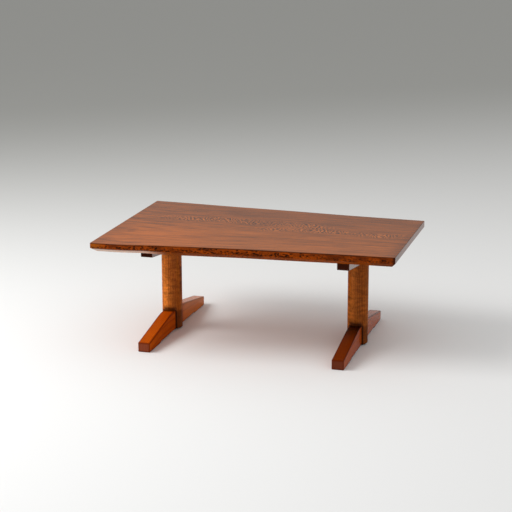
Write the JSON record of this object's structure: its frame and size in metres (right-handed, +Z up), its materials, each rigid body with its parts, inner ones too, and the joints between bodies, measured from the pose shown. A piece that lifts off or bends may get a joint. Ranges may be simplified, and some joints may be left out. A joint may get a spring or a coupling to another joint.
{
  "type": "japanese low table",
  "caption": "Low floor-sitting table with a tapered natural-edge wooden slab on two round columns, each forked over a long tapered foot and a batten.",
  "frame": {"origin": "on the floor, under the middle of the slab's outline", "axes": "+X along the slab's grain towards its narrower end, +Y from the front edge to the back edge, +Z up"},
  "size_m": [0.89, 0.577, 0.33],
  "materials": {
    "slab_wood": "semi-gloss clear lacquer over straight and rippled grain",
    "column_wood": "semi-gloss clear lacquer over mottled figure",
    "foot_wood": "semi-gloss clear lacquer",
    "batten_wood": "semi-gloss clear lacquer",
    "bolt_steel": "bright zinc plating",
    "screw_steel": "yellowish zinc plating",
    "insert_brass": "turned brass"
  },
  "bodies": {
    "root": {"tabletop": "slab_wood", "batten_left": "batten_wood", "batten_right": "batten_wood", "column_left": "column_wood", "column_right": "column_wood", "foot_left": "foot_wood", "foot_right": "foot_wood", "foot_bolt_left": "bolt_steel", "foot_bolt_right": "bolt_steel", "foot_washer_left": "bolt_steel", "foot_washer_right": "bolt_steel", "column_insert_left": "insert_brass", "column_insert_right": "insert_brass", "batten_screws_left": "screw_steel", "batten_screws_right": "screw_steel", "top_bolts_left": "bolt_steel", "top_bolts_right": "bolt_steel", "top_washers_left": "bolt_steel", "top_washers_right": "bolt_steel", "top_inserts_left": "insert_brass", "top_inserts_right": "insert_brass"}
  },
  "joints": []
}
